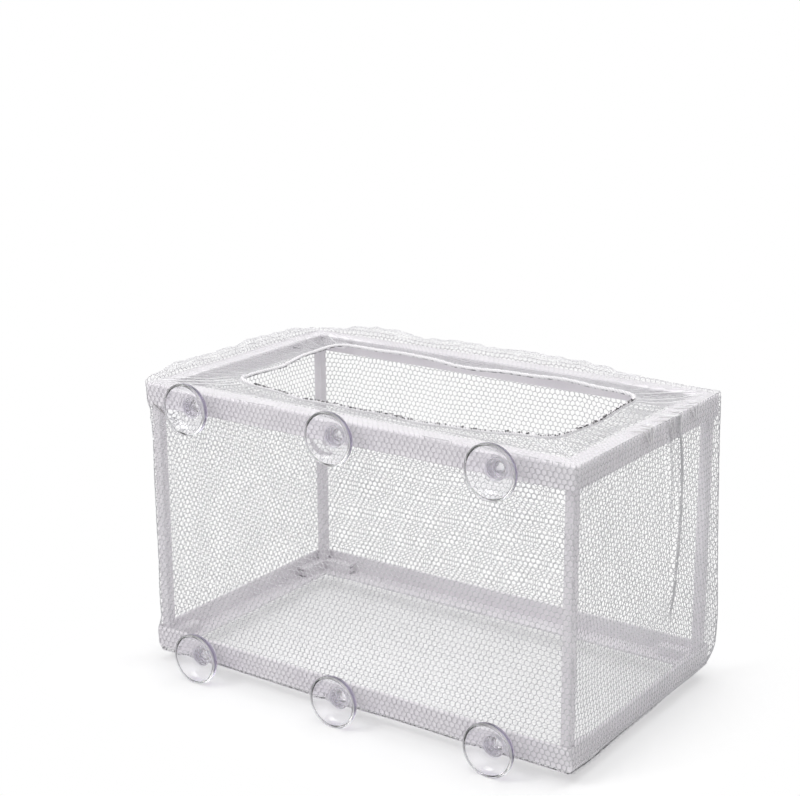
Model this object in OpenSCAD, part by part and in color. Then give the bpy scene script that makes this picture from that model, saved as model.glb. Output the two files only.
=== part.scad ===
// Fish breeding box: a net bag stretched over a white plastic frame, with
// suction cups along the front rails that hold the box to aquarium glass.
// +X runs to the right along the front, +Y to the back, +Z up.
// The origin is under the middle of the whole part, level with its lowest point.

/* [Box] */
// Outside length of the frame, left to right
box_length = 260; // [220:5:400]
// Outside depth of the frame, front to back
box_depth = 148; // [130:2:240]
// Outside height of the frame
box_height = 150; // [110:5:240]

/* [Rails] */
// Height of the upright leg of every rail
rail_face = 12; // [11.5:0.5:16]
// Width of the flat leg of the four top rails
top_leg = 10; // [9.5:0.5:14]
// Width of the flat leg of the four bottom rails
bottom_leg = 12; // [9.5:0.5:14]
// Wall of the rails and of the corner pieces
rail_wall = 1.6; // [1.3:0.1:1.9]
// Radius along the outer edge of the rails
edge_radius = 1.1; // [0.5:0.1:1.2]
// Radius of the fillet in the angle of the rails
root_fillet = 0.6; // [0.3:0.1:0.7]

/* [Posts] */
// Side of the square posts
post_size = 5.5; // [4.5:0.1:6.5]
// Radius of the long edges of the posts
post_edge = 1.2; // [0.4:0.1:1.8]

/* [Corner pieces] */
// Reach of a corner piece along each rail, from the outer corner
corner_reach = 14; // [14:0.5:20]
// Radius of the upright outer edge of a corner piece
corner_radius = 2; // [1.2:0.1:3]
// Width of the pegs that go into the rail ends
peg_width = 5; // [4:0.1:6]
// Height of the pegs
peg_height = 4; // [3:0.1:6]
// Length of a peg beyond its corner piece
peg_length = 12; // [8:0.5:18]
// Length of the tapered lead at the tip of a peg
peg_lead = 2; // [1:0.1:3]
// Gap on each side of a peg or a post in its socket
socket_gap = 0.15; // [0.08:0.01:0.25]
// Wall of the sockets for the pegs and the posts
socket_wall = 1.2; // [1:0.1:1.4]

/* [Net] */
// Thickness of the net
net_thickness = 0.6; // [0.3:0.1:1]
// Width of the bars between the openings of a net panel
net_bar = 2.4; // [1.5:0.1:4]
// Openings side by side in the front, back and bottom nets
net_columns = 12; // [10:1:12]
// Openings side by side in the left and right nets
side_columns = 6; // [6:1:8]
// Openings one above the other in the wall nets, and front to back in the bottom net
net_rows = 6; // [6:1:8]
// Length of the opening in the top
opening_length = 195; // [120:5:200]
// Depth of the opening in the top, front to back
opening_depth = 96; // [60:2:100]
// Distance of the middle of the opening behind the middle of the frame
opening_setback = 2; // [0:0.5:6]
// Corner radius of the opening
opening_radius = 14; // [8:1:25]
// Thickness of the elastic hem round the opening
hem_thickness = 2.2; // [1.4:0.1:3]

/* [Suction cups] */
// Diameter of the suction discs
cup_diameter = 27.5; // [24:0.5:34]
// Distance from the face of the rail to the glass
cup_reach = 13; // [12:0.5:16]
// Distance of the outer cups' middles from the ends of the frame
cup_inset = 38; // [31:1:60]
// Depth of the hollow of a cup
dish_depth = 4.5; // [3:0.1:5.5]
// Radius of the curve that runs up the inside of the hollow
dish_curve = 6; // [5.5:0.5:7]
// Thickness of a disc at its hub
dish_wall = 1.5; // [1:0.1:2]
// Height of the straight edge of a disc
rim_height = 1; // [0.5:0.1:1.5]
// Width of the flat ring at the rim, which lies on the glass
rim_land = 1.2; // [0.9:0.1:1.6]
// Diameter of the hub behind a disc
hub_diameter = 10; // [8.5:0.1:12]
// Radius of the fillet between the hub and the disc
hub_fillet = 1; // [0.4:0.1:1.5]
// Diameter of the shallow step in the middle of the hollow
step_diameter = 6.2; // [5:0.1:8]
// Depth of the step
step_depth = 0.3; // [0.1:0.05:0.5]
// Diameter of the sprue mark in the middle of the step
sprue_diameter = 2.4; // [1:0.1:3]
// Depth of the sprue mark below the step
sprue_depth = 0.3; // [0.1:0.05:0.4]
// Diameter of the neck that runs through the rail
neck_diameter = 5; // [4.5:0.1:5.4]
// Diameter of the mushroom head behind the rail
head_diameter = 7.2; // [6.8:0.1:7.4]
// Length of the mushroom head
head_length = 3.2; // [2.4:0.1:3.6]
// Radial gap between the neck and its hole in the rail
neck_gap = 0.06; // [0.03:0.01:0.1]
// Gap between the neck and its hole in the net
net_gap = 0.4; // [0.3:0.1:1]
// Gap between a cup and what it clamps, on each side
cup_play = 0.3; // [0.3:0.05:0.6]

/* [Hidden] */
$fn = 64;

// Overlap that joins solids of one piece
join = 0.01;
frame_white = [0.93, 0.92, 0.93];
net_white = [0.98, 0.98, 0.98];
clear_violet = [0.85, 0.84, 0.95, 0.5];

// The cups: radii, and heights h measured from the rail's face towards the glass
cup_radius = cup_diameter / 2;
hub_radius = hub_diameter / 2;
neck_radius = neck_diameter / 2;
head_radius = head_diameter / 2;
hub_back = net_thickness + cup_play;
head_front = -(rail_wall + cup_play);
head_back = head_front - head_length;
head_edge = head_length / 3;
cup_height = rail_face / 2;
cup_spacing = box_length / 2 - cup_inset;
dish_floor = cup_reach - dish_depth;
disc_back = dish_floor - dish_wall;
shoulder_radius = cup_reach - rim_height - disc_back;
shoulder_middle = cup_radius - shoulder_radius;
// The curve of the hollow is level at the floor and meets the inner edge of the land
dish_middle = cup_radius - rim_land - sqrt(dish_curve ^ 2 - (dish_curve - dish_depth) ^ 2);

// Sockets and pegs, in the frame of a rail's outer corner
peg_inset = rail_wall + socket_gap;
socket_inner_width = peg_width + 2 * socket_gap;
socket_inner_height = peg_height + 2 * socket_gap;
block_width = rail_wall + socket_inner_width + socket_wall;
block_height = rail_wall + socket_inner_height + socket_wall;
socket_length = peg_length + socket_gap;
pocket_size = post_size + 2 * socket_gap;
sleeve_size = rail_wall + pocket_size + socket_wall;
pocket_end = rail_wall + pocket_size;

// Nets: the borders over the rails and posts have no openings
wall_height = box_height + net_thickness;
border_spare = 1;
rail_border = rail_face + border_spare;
post_border = pocket_end + border_spare;
floor_border = bottom_leg + border_spare;

// The lowest point is the edge of the bottom cups, or the net where cups are small
drop = max(cup_radius - cup_height, net_thickness);
origin_shift = [0, (cup_reach - net_thickness) / 2, drop];

// ---- Placing -------------------------------------------------------------

module flip(axis, on) {
    if (on) mirror(axis) children();
    else children();
}

// Puts a piece drawn at the inside of an outer corner, with +X, +Y and +Z
// running inward, at the corner that side and level name
module at_corner(right = false, back = false, top = false) {
    translate([
        right ? box_length / 2 : -box_length / 2,
        back ? box_depth / 2 : -box_depth / 2,
        top ? box_height : 0
    ])
    flip([1, 0, 0], right) flip([0, 1, 0], back) flip([0, 0, 1], top) children();
}

// ---- Rails ---------------------------------------------------------------

// Section of a rail: flat leg along the first axis, upright leg along the second
module angle_section(leg) {
    tip = rail_wall / 2;
    difference() {
        union() {
            square([leg - tip, rail_wall]);
            square([rail_wall, rail_face - tip]);
            translate([leg - tip, tip]) circle(r = tip);
            translate([tip, rail_face - tip]) circle(r = tip);
            square([rail_wall + root_fillet, rail_wall + root_fillet]);
        }
        translate([rail_wall + root_fillet, rail_wall + root_fillet]) circle(r = root_fillet);
        difference() {
            translate([-1, -1]) square([edge_radius + 1, edge_radius + 1]);
            translate([edge_radius, edge_radius]) circle(r = edge_radius);
        }
    }
}

// Lays a section, drawn across a rail, along +X from start over a length
module along_x(start, length) {
    translate([start, 0, 0]) rotate([90, 0, 90]) linear_extrude(length) children();
}

// Block at a rail end, closed on all sides round the socket for a peg
module end_socket(start) {
    along_x(start, socket_length) difference() {
        translate([rail_wall - join, rail_wall - join])
            square([block_width - rail_wall + join, block_height - rail_wall + join]);
        translate([rail_wall, rail_wall]) square([socket_inner_width, socket_inner_height]);
    }
}

// Rail along +X between two corner pieces
module rail(span, leg) {
    length = span - 2 * corner_reach;
    difference() {
        union() {
            along_x(corner_reach, length) angle_section(leg);
            end_socket(corner_reach);
            end_socket(corner_reach + length - socket_length);
        }
        // Keeps the corner of each socket square where the fillet would fill it
        for (start = [corner_reach - 1, corner_reach + length - socket_length])
            translate([start, rail_wall, rail_wall])
                cube([socket_length + 1, socket_inner_width, socket_inner_height]);
    }
}

module cup_holes(radius, depth) {
    for (step = [-1, 0, 1])
        translate([box_length / 2 + step * cup_spacing, 0, cup_height])
            rotate([-90, 0, 0]) translate([0, 0, -1]) cylinder(r = radius, h = depth + 2);
}

module long_rail(back, top, holes) {
    color(frame_white) at_corner(false, back, top) difference() {
        rail(box_length, top ? top_leg : bottom_leg);
        if (holes) cup_holes(neck_radius + neck_gap, rail_wall);
    }
}

module short_rail(right, top) {
    color(frame_white) at_corner(right, false, top)
        mirror([1, -1, 0]) rail(box_depth, top ? top_leg : bottom_leg);
}

// ---- Posts ---------------------------------------------------------------

module rounded_square(size, radius) {
    translate([radius, 0]) square([size - 2 * radius, size]);
    translate([0, radius]) square([size, size - 2 * radius]);
    for (x = [radius, size - radius])
        for (y = [radius, size - radius])
            translate([x, y]) circle(r = radius);
}

module post(right, back) {
    color(frame_white) at_corner(right, back, false)
        translate([peg_inset, peg_inset, rail_wall])
            linear_extrude(box_height - 2 * rail_wall) rounded_square(post_size, post_edge);
}

// ---- Corner pieces -------------------------------------------------------

// Square with its corner at the origin rounded
module rounded_quadrant(size, radius) {
    translate([radius, 0]) square([size - radius, size]);
    translate([0, radius]) square([size, size - radius]);
    translate([radius, radius]) circle(r = radius);
}

// Outside form of a corner piece: its three outer edges rounded
module corner_envelope() {
    size = box_height;
    intersection() {
        linear_extrude(size) rounded_quadrant(size, corner_radius);
        along_x(0, size) rounded_quadrant(size, edge_radius);
        mirror([1, -1, 0]) along_x(0, size) rounded_quadrant(size, edge_radius);
    }
}

// Peg along +X, with a tapered lead at its tip
module peg() {
    tip = corner_reach + peg_length;
    lead = peg_lead / 4;
    translate([0, peg_inset, peg_inset]) rotate([90, 0, 0]) mirror([0, 0, 1])
        linear_extrude(peg_width)
            polygon([
                [pocket_end, 0], [tip - peg_lead, 0], [tip, lead],
                [tip, peg_height - lead], [tip - peg_lead, peg_height], [pocket_end, peg_height]
            ]);
}

// One arm of a corner piece along +X: the angle, the block the rail butts on, the peg
module corner_arm(leg) {
    along_x(0, corner_reach) angle_section(leg);
    along_x(pocket_end, corner_reach - pocket_end)
        square([block_width, block_height]);
    peg();
}

module corner(right, back, top) {
    leg = top ? top_leg : bottom_leg;
    color(frame_white) at_corner(right, back, top) difference() {
        intersection() {
            union() {
                corner_arm(leg);
                mirror([1, -1, 0]) corner_arm(leg);
                cube([sleeve_size, sleeve_size, block_height]);
            }
            corner_envelope();
        }
        translate([rail_wall, rail_wall, rail_wall])
            cube([pocket_size, pocket_size, block_height]);
    }
}

// ---- Net -----------------------------------------------------------------

// Flat sheet of net from the origin, with a plain grid of openings inside its borders
module net_sheet(width, length, border_x, border_y, columns) {
    step_x = (width - 2 * border_x) / columns;
    step_y = (length - 2 * border_y) / net_rows;
    linear_extrude(net_thickness) difference() {
        square([width, length]);
        for (column = [0 : columns - 1])
            for (row = [0 : net_rows - 1])
                translate([
                    border_x + column * step_x + net_bar / 2,
                    border_y + row * step_y + net_bar / 2
                ])
                    square([step_x - net_bar, step_y - net_bar]);
    }
}

// Wall of net on the front or the back, over the full height
module long_net(back, holes) {
    color(net_white) difference() {
        translate([
            -box_length / 2 - net_thickness,
            back ? box_depth / 2 + net_thickness : -box_depth / 2,
            -net_thickness
        ])
            rotate([90, 0, 0]) net_sheet(
                box_length + 2 * net_thickness, wall_height,
                post_border + net_thickness, rail_border, net_columns
            );
        if (holes)
            for (top = [false, true])
                at_corner(false, back, top)
                    translate([0, -net_thickness, 0])
                        cup_holes(neck_radius + net_gap, net_thickness);
    }
}

module short_net(right) {
    color(net_white)
        translate([
            right ? box_length / 2 : -box_length / 2 - net_thickness,
            -box_depth / 2,
            -net_thickness
        ])
            rotate([90, 0, 90])
                net_sheet(box_depth, wall_height, post_border, rail_border, side_columns);
}

module net_bottom() {
    color(net_white)
        translate([-box_length / 2, -box_depth / 2, -net_thickness])
            net_sheet(box_length, box_depth, floor_border, floor_border, net_columns);
}

module opening_outline() {
    translate([-opening_length / 2, opening_setback - opening_depth / 2]) {
        translate([opening_radius, 0])
            square([opening_length - 2 * opening_radius, opening_depth]);
        translate([0, opening_radius])
            square([opening_length, opening_depth - 2 * opening_radius]);
        for (x = [opening_radius, opening_length - opening_radius])
            for (y = [opening_radius, opening_depth - opening_radius])
                translate([x, y]) circle(r = opening_radius);
    }
}

// Flap of net folded over the top rails, one strip on each side of the opening,
// mitred where it meets its neighbours
module flap(side) {
    outer_x = box_length / 2 + net_thickness;
    outer_y = box_depth / 2 + net_thickness;
    inner_x = opening_length / 2 - opening_radius;
    front_y = opening_setback - opening_depth / 2 + opening_radius;
    back_y = opening_setback + opening_depth / 2 - opening_radius;
    corners = [[-outer_x, -outer_y], [outer_x, -outer_y], [outer_x, outer_y], [-outer_x, outer_y]];
    inners = [[-inner_x, front_y], [inner_x, front_y], [inner_x, back_y], [-inner_x, back_y]];
    first = side == "front" ? 0 : side == "right" ? 1 : side == "back" ? 2 : 3;
    second = (first + 1) % 4;
    color(net_white) translate([0, 0, box_height]) linear_extrude(net_thickness)
        difference() {
            polygon([corners[first], corners[second], inners[second], inners[first]]);
            opening_outline();
        }
}

// Elastic cord in the edge of the flap: a ring that grips the flap from inside
module elastic_hem() {
    radius = hem_thickness / 2;
    straight_x = opening_length - 2 * opening_radius;
    straight_y = opening_depth - 2 * opening_radius;
    color(net_white) difference() {
        translate([0, opening_setback, box_height + net_thickness - radius])
            for (turn = [0, 180]) rotate(turn) {
                translate([-straight_x / 2, -opening_depth / 2, 0])
                    rotate([0, 90, 0]) cylinder(r = radius, h = straight_x);
                translate([opening_length / 2, -straight_y / 2, 0])
                    rotate([-90, 0, 0]) cylinder(r = radius, h = straight_y);
                for (end = [0, 1])
                    translate([straight_x / 2, end == 0 ? -straight_y / 2 : straight_y / 2, 0])
                        rotate(end == 0 ? -90 : 0) rotate_extrude(angle = 90)
                            translate([opening_radius, 0]) circle(r = radius);
            }
        translate([0, 0, box_height]) linear_extrude(2 * net_thickness) difference() {
            square([box_length, box_depth], center = true);
            opening_outline();
        }
    }
}

// ---- Suction cups --------------------------------------------------------

// Half section of a cup: radius along the first axis, height h along the second
module cup_section() {
    difference() {
        union() {
            // Disc with its rounded shoulder and straight edge
            translate([0, disc_back]) square([shoulder_middle, cup_reach - disc_back]);
            translate([0, cup_reach - rim_height]) square([cup_radius, rim_height]);
            intersection() {
                translate([shoulder_middle, disc_back + shoulder_radius])
                    circle(r = shoulder_radius);
                translate([shoulder_middle - join, disc_back])
                    square([shoulder_radius + join, shoulder_radius + join]);
            }
            // Hub, filleted into the back of the disc
            translate([0, hub_back]) square([hub_radius, disc_back - hub_back + join]);
            difference() {
                translate([0, disc_back - hub_fillet])
                    square([hub_radius + hub_fillet, hub_fillet + join]);
                translate([hub_radius + hub_fillet, disc_back - hub_fillet])
                    circle(r = hub_fillet);
            }
            // Neck, through the net and the rail
            translate([0, head_front - head_edge])
                square([neck_radius, hub_back - head_front + head_edge + join]);
            // Mushroom head
            polygon([
                [0, head_back], [neck_radius, head_back], [head_radius, head_front - head_edge],
                [head_radius, head_front], [0, head_front]
            ]);
        }
        // Hollow of the disc
        translate([0, dish_floor]) square([dish_middle, dish_depth + 1]);
        intersection() {
            translate([dish_middle, dish_floor + dish_curve]) circle(r = dish_curve);
            translate([dish_middle - join, dish_floor])
                square([dish_curve + 2 * join, dish_depth + 1]);
        }
        translate([0, dish_floor - step_depth]) square([step_diameter / 2, step_depth + 1]);
        translate([0, dish_floor - step_depth - sprue_depth])
            square([sprue_diameter / 2, step_depth + 1]);
    }
}

module cup(place, top) {
    step = place == "left" ? -1 : place == "right" ? 1 : 0;
    color(clear_violet)
        translate([step * cup_spacing, -box_depth / 2, top ? box_height - cup_height : cup_height])
            rotate([90, 0, 0]) rotate_extrude($fn = 96) cup_section();
}

// ---- Assembly ------------------------------------------------------------

translate(origin_shift) {
    long_rail(false, true, true);  // rail_top_front
    long_rail(true, true, false);  // rail_top_back
    short_rail(false, true);  // rail_top_left
    short_rail(true, true);  // rail_top_right
    long_rail(false, false, true);  // rail_bottom_front
    long_rail(true, false, false);  // rail_bottom_back
    short_rail(false, false);  // rail_bottom_left
    short_rail(true, false);  // rail_bottom_right
    post(false, false);  // post_front_left
    post(true, false);  // post_front_right
    post(false, true);  // post_back_left
    post(true, true);  // post_back_right
    corner(false, false, true);  // corner_top_front_left
    corner(true, false, true);  // corner_top_front_right
    corner(false, true, true);  // corner_top_back_left
    corner(true, true, true);  // corner_top_back_right
    corner(false, false, false);  // corner_bottom_front_left
    corner(true, false, false);  // corner_bottom_front_right
    corner(false, true, false);  // corner_bottom_back_left
    corner(true, true, false);  // corner_bottom_back_right
    long_net(false, true);  // net_front
    long_net(true, false);  // net_back
    short_net(false);  // net_left
    short_net(true);  // net_right
    net_bottom();
    flap("front");  // flap_front
    flap("back");  // flap_back
    flap("left");  // flap_left
    flap("right");  // flap_right
    elastic_hem();
    cup("left", true);  // cup_top_left
    cup("middle", true);  // cup_top_middle
    cup("right", true);  // cup_top_right
    cup("left", false);  // cup_bottom_left
    cup("middle", false);  // cup_bottom_middle
    cup("right", false);  // cup_bottom_right
}
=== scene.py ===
import math
from functools import partial
import bpy
import numpy as np
from mathutils import Matrix, Vector


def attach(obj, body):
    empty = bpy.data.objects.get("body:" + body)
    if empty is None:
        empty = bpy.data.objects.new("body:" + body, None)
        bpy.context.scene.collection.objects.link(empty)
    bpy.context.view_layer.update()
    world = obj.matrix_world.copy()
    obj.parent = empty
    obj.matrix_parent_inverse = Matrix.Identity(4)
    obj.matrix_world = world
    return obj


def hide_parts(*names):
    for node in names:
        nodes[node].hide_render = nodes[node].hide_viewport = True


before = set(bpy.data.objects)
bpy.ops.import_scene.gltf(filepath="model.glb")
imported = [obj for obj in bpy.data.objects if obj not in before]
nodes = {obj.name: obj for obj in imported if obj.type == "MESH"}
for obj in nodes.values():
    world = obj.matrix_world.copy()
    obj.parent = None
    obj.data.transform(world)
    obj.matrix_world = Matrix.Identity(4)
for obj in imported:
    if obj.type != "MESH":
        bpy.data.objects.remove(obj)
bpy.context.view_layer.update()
scene = bpy.context.scene

# All shapes are worked out in millimetres about the middle of the frame's foot,
# and moved to the part's own origin when a mesh is made.
originShift = np.array([0.0, 6.2, 7.75])
frameLength, frameDepth, frameHeight = 260.0, 148.0, 150.0
frameHalf = (frameLength / 2, frameDepth / 2)
sideLengths = (frameLength, frameDepth) * 2
cupSpots = {
    f"cup_{level}_{spot}": (x, z)
    for level, z in (("top", 144.0), ("bottom", 6.0))
    for spot, x in (("left", -92.0), ("middle", 0.0), ("right", 92.0))
}


def toMetres(points):
    return (np.asarray(points, float) + originShift) / 1000.0


def newObject(name, mesh):
    thing = bpy.data.objects.new(name, mesh)
    scene.collection.objects.link(thing)
    return thing


def meshFrom(name, points, faces):
    mesh = bpy.data.meshes.new(name)
    mesh.from_pydata([tuple(p) for p in toMetres(points)], [], [tuple(f) for f in faces])
    mesh.polygons.foreach_set("use_smooth", [True] * len(mesh.polygons))
    mesh.update()
    return mesh


def smoothStep(x):
    x = np.clip(x, 0.0, 1.0)
    return x * x * (3.0 - 2.0 * x)


def through(marks, values):
    # a gently rounded line through a few marks
    fine = np.linspace(marks[0], marks[-1], 241)
    line = np.interp(fine, marks, values)
    padded = np.pad(line, 8, mode="edge")
    line = np.convolve(padded, np.ones(17) / 17, mode="valid")
    return lambda z: np.interp(z, fine, line)


def ripple(a, b, seed):
    # five waves of falling strength, crossed at random
    rng = np.random.default_rng(seed)
    total = 0.0
    for k in range(5):
        fa, fb = rng.uniform(0.5, 1.6, 2) * (1.0 + 0.6 * k)
        waveA = np.sin(a * fa + rng.uniform(0, 6.28))
        waveB = np.sin(b * fb + rng.uniform(0, 6.28))
        total = total + waveA * waveB / (1 + 0.5 * k)
    return total / 2.2


# The bag. Its corners run in order round the box: front left, front right, back right,
# back left. Side k runs from corner k to corner k + 1: front, right, back, left.
sideNames = ("front", "right", "back", "left")
cornerSigns = ((-1, -1), (1, -1), (1, 1), (-1, 1))
outward = ((0, -1), (1, 0), (0, 1), (-1, 0))
hangFrom, hangTo = 9, 141    # heights between which the walls hang free of the rails

bag = {
    "gap": 0.45,             # from the rails to the threads' middle
    "hug": 1.35,             # how far the net goes in behind the rails, onto the posts
    "leftRuffle": 2.6,       # height of the slack above the left rail
    "backRuffle": 3.0,
    "pleatDepth": 2.4,       # folded pleat in the right side
    "pleatBand": (2.4, 4.6), # its width on the wall, low and high
    "pleatSpare": 15.0,      # and the cloth folded up in it
    "seamDrop": 2.4,         # how far the bottom seam hangs
    "wallCut": ((261, 152), (168, 134), (261, 153), (149, 153)),
    "wallSlant": (0.0, 0.4, 0.0, 0.0),
    "flapCut": ((261, 29), (168, 34), (261, 29), (149, 35)),
}
# By height: how far the bag hangs out at the back right corner, to the back and to
# the right, and where the pleat runs on the right side
slackHeights = (-4, 1, 6, 14, 30, 55, 94, 121, 143, 152)
slackOut = through(slackHeights, (-3.0, 1.2, 3.4, 4.8, 5.2, 3.6, 1.6, 0.9, 0.5, 0.3))
slackRight = through(slackHeights, (-1.6, 0.5, 1.4, 1.9, 2.0, 1.5, 1.0, 0.6, 0.4, 0.2))
pleatHeights = (0, 44, 57, 65, 80, 95, 108, 121, 143, 152)
pleatPlace = through(pleatHeights, (91, 92, 93, 94.2, 97.8, 100, 100.9, 101.1, 97, 94.6))


def cornerAt(k, z):
    z = np.asarray(z, float)
    sx, sy = cornerSigns[k]
    x = np.full_like(z, sx * (frameHalf[0] + bag["gap"]))
    y = np.full_like(z, sy * (frameHalf[1] + bag["gap"]))
    free = smoothStep((z - hangFrom) / 9) * smoothStep((hangTo - z) / 7)
    if k == 2:
        return x + slackRight(z), y + slackOut(z)
    hug = bag["hug"] * free * (1, 0.9, 0, 0.6)[k]
    x = x - sx * hug * (1 + 0.12 * np.sin(z * 0.17 + k))
    y = y - sy * hug * (1 + 0.15 * np.sin(z * 0.13 + k))
    if k == 0:
        x = x - 0.7 * np.exp(-((z - 131) / 2.2) ** 2)     # a crease below the top corner
    if k == 1:
        x = x + 0.5 * np.exp(-((z - 60) / 16) ** 2)
    return x, y


def slack(k, f, z):
    free = smoothStep((z - hangFrom) / 12) * smoothStep((hangTo - z) / 8)
    ends = smoothStep(f / 0.04) * smoothStep((1 - f) / 0.04)
    out = free * ends * 0.55 * ripple(f * (14, 9, 14, 9)[k], z / 26, 11 + k)
    if k == 1:
        along = f * frameDepth - pleatPlace(z)
        reach = smoothStep((z - 38) / 22) * (1 - 0.5 * smoothStep((z - 138) / 10))
        out = out + bag["pleatDepth"] * reach * np.exp(-(along / 1.5) ** 2)
        out = out + 1.0 * reach * np.exp(-((along + 9.5) / 2.6) ** 2) * smoothStep((z - 70) / 60)
        out = out + 0.8 * free * np.exp(-((f * frameDepth - 126 - 4 * np.sin(z / 40)) / 5.0) ** 2)
    if k == 2:
        out = out + free * 1.2 * np.exp(-((f * frameLength - 30) / 22.0) ** 2)
        out = out + 0.9 * free * ends * np.sin(f * 31 + z / 30)
    if k == 3:
        wave = 0.6 + 0.4 * np.sin(f * 17 + z / 22)
        out = out + 1.1 * free * ends * wave * (1 - 0.9 * smoothStep((f - 0.6) / 0.35))
    return out


def foldAt(k, f):
    # the edge where wall and flap meet: how far it stands out, and its height
    wave = ripple(f * (20, 11, 22, 14)[k], f * 3.1, 31 + k)
    ends = smoothStep(f / 0.05) * smoothStep((1 - f) / 0.05)
    if k == 0:
        return 0.15 + 0 * f, frameHeight + 0.75 + 0.15 * wave
    if k == 1:
        near = np.exp(-((f * frameDepth - 97) / 5.0) ** 2)
        far = smoothStep((f - 0.55) / 0.4) * ends
        rise = frameHeight + 0.8 + 0.25 * wave + 0.9 * near + far * (0.8 + 0.8 * wave)
        return 0.2 + 1.2 * near, rise
    if k == 2:
        lift = ends * bag["backRuffle"] * (0.55 + 0.45 * wave) * smoothStep((f - 0.04) / 0.3)
        return 0.3 + 0.35 * lift, frameHeight + 0.9 + np.clip(lift, 0, 9)
    lift = ends * bag["leftRuffle"] * (0.6 + 0.4 * wave)
    return 0.5 + 0.55 * lift, frameHeight + 0.9 + np.clip(lift, 0, 9)


def footAt(k, f):
    # height of the wall's foot, which hangs below the rails
    wave = 0.5 + 0.5 * ripple(f * 9, f * 2.3, 51 + k)
    drop = bag["seamDrop"] * (0.45 + 0.55 * np.clip(wave, 0, 1.2))
    if k == 1:
        drop = drop * (1 - 0.5 * smoothStep((f - 0.88) / 0.12))
        drop = drop + 1.8 * np.exp(-((f * frameDepth - 26) / 16) ** 2)
    return -drop


def cornerRound(k, z):
    foot = (3.0, 4.0, 8.0, 5.0)[k]
    return 2.2 + (foot - 2.2) * smoothStep((12 - z) / 13)


def roundOff(distance, radius):
    # how far a point near a corner moves along its side, and inwards
    t = np.clip(distance / radius, 0, 1)
    angle = (1 + t) * np.pi / 4
    return radius * (1 - np.cos(angle) - t), radius * (1 - np.sin(angle))


def pleatWide(z):
    low, high = bag["pleatBand"]
    return low + (high - low) * smoothStep((z - 90) / 50)


def bunched(k, f, z):
    # spare cloth is folded up in the pleat, and eases out evenly towards the bottom
    if k != 1:
        return f
    spare, band = bag["pleatSpare"], pleatWide(z)
    cloth = f * (frameDepth + spare)
    t = (cloth - pleatPlace(z) + band / 2) / (band + spare)
    folded = cloth - spare * (0.6 * np.clip(t, 0, 1) + 0.4 * smoothStep(t))
    return f + smoothStep((z - 34) / 30) * (folded / frameDepth - f)


def wallPoint(k, f, w):
    # a place on side k: f runs along the cloth, w from its foot up to the fold
    f, w = np.broadcast_arrays(np.asarray(f, float), np.asarray(w, float))
    foldOut, foldZ = foldAt(k, f)
    z = footAt(k, f) * (1 - w) + foldZ * w
    f = bunched(k, f, z)
    ax, ay = cornerAt(k, z)
    bx, by = cornerAt((k + 1) % 4, z)
    nx, ny = outward[k]
    length = sideLengths[k]
    startShift, startIn = roundOff(f * length, cornerRound(k, z))
    endShift, endIn = roundOff((1 - f) * length, cornerRound((k + 1) % 4, z))
    high = smoothStep((z - hangTo) / 9.5)
    tuck = 2.2 * smoothStep((1.5 - z) / 3.0)          # the bag turns in under the rail
    out = slack(k, f, z) + foldOut * high - tuck - startIn - endIn
    f = f + (startShift - endShift) / length
    x = ax * (1 - f) + bx * f + nx * out
    y = ay * (1 - f) + by * f + ny * out
    return np.stack([x, y, z], -1)


# The hem's loop, from above, anticlockwise from the left end of the front edge
hemMarks = [
    (-96.5, -33), (-92.5, -39.5), (-84, -43), (-60, -47.5), (-30, -50.5), (0, -52), (30, -51.5),
    (60, -48.5), (84, -43.5), (94, -39), (99, -29), (101.5, 0), (100, 30), (97, 43), (88, 49.5),
    (58, 53.3), (21, 51), (0, 49.6), (-17, 47.8), (-37, 52.4), (-61, 53), (-78, 54.3), (-92, 51.5),
    (-98, 43), (-97, 20), (-95, 0), (-96, -18),
]


def closedCurve(marks):
    # smooth through the marks, then cut into even steps
    marks = np.asarray(marks, float)
    before, after, later = (np.roll(marks, s, 0) for s in (1, -1, -2))
    t = np.linspace(0, 1, 24, endpoint=False)[None, :, None]
    a, b, c, d = (m[:, None, :] for m in (before, marks, after, later))
    bend, twist = 2 * a - 5 * b + 4 * c - d, 3 * b - a - 3 * c + d
    line = 0.5 * (2 * b + (c - a) * t + bend * t**2 + twist * t**3)
    line = line.reshape(-1, marks.shape[1])
    gaps = np.linalg.norm(np.roll(line, -1, 0) - line, axis=1)
    far = np.concatenate([[0], np.cumsum(gaps)])
    even = np.linspace(0, far[-1], 1441)[:-1]
    ring = np.vstack([line, line[:1]])
    return np.stack([np.interp(even, far, ring[:, i]) for i in range(marks.shape[1])], 1)


hemLine = closedCurve(hemMarks)
hemTurn = np.arange(len(hemLine)) / len(hemLine)
hemZ = 149.6 + 0.35 * np.sin(hemTurn * 44) + 0.25 * np.sin(hemTurn * 97 + 1) - 0.5 * (hemLine[:, 1] < 0)
hemCorners = [
    int(np.argmin(np.abs(hemLine - spot).sum(1)))
    for spot in ((-99, -44), (99, -44), (99, 47), (-99, 47))
]


def hemAt(k, g):
    # a place on the hem between its corners k and k + 1
    start, end = hemCorners[k], hemCorners[(k + 1) % 4]
    if end <= start:
        end += len(hemLine)
    place = start + g * (end - start)
    low = np.floor(place).astype(int)
    part = (place - low)[..., None]
    ring = np.column_stack([hemLine, hemZ])
    return ring[low % len(ring)] * (1 - part) + ring[(low + 1) % len(ring)] * part


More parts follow.
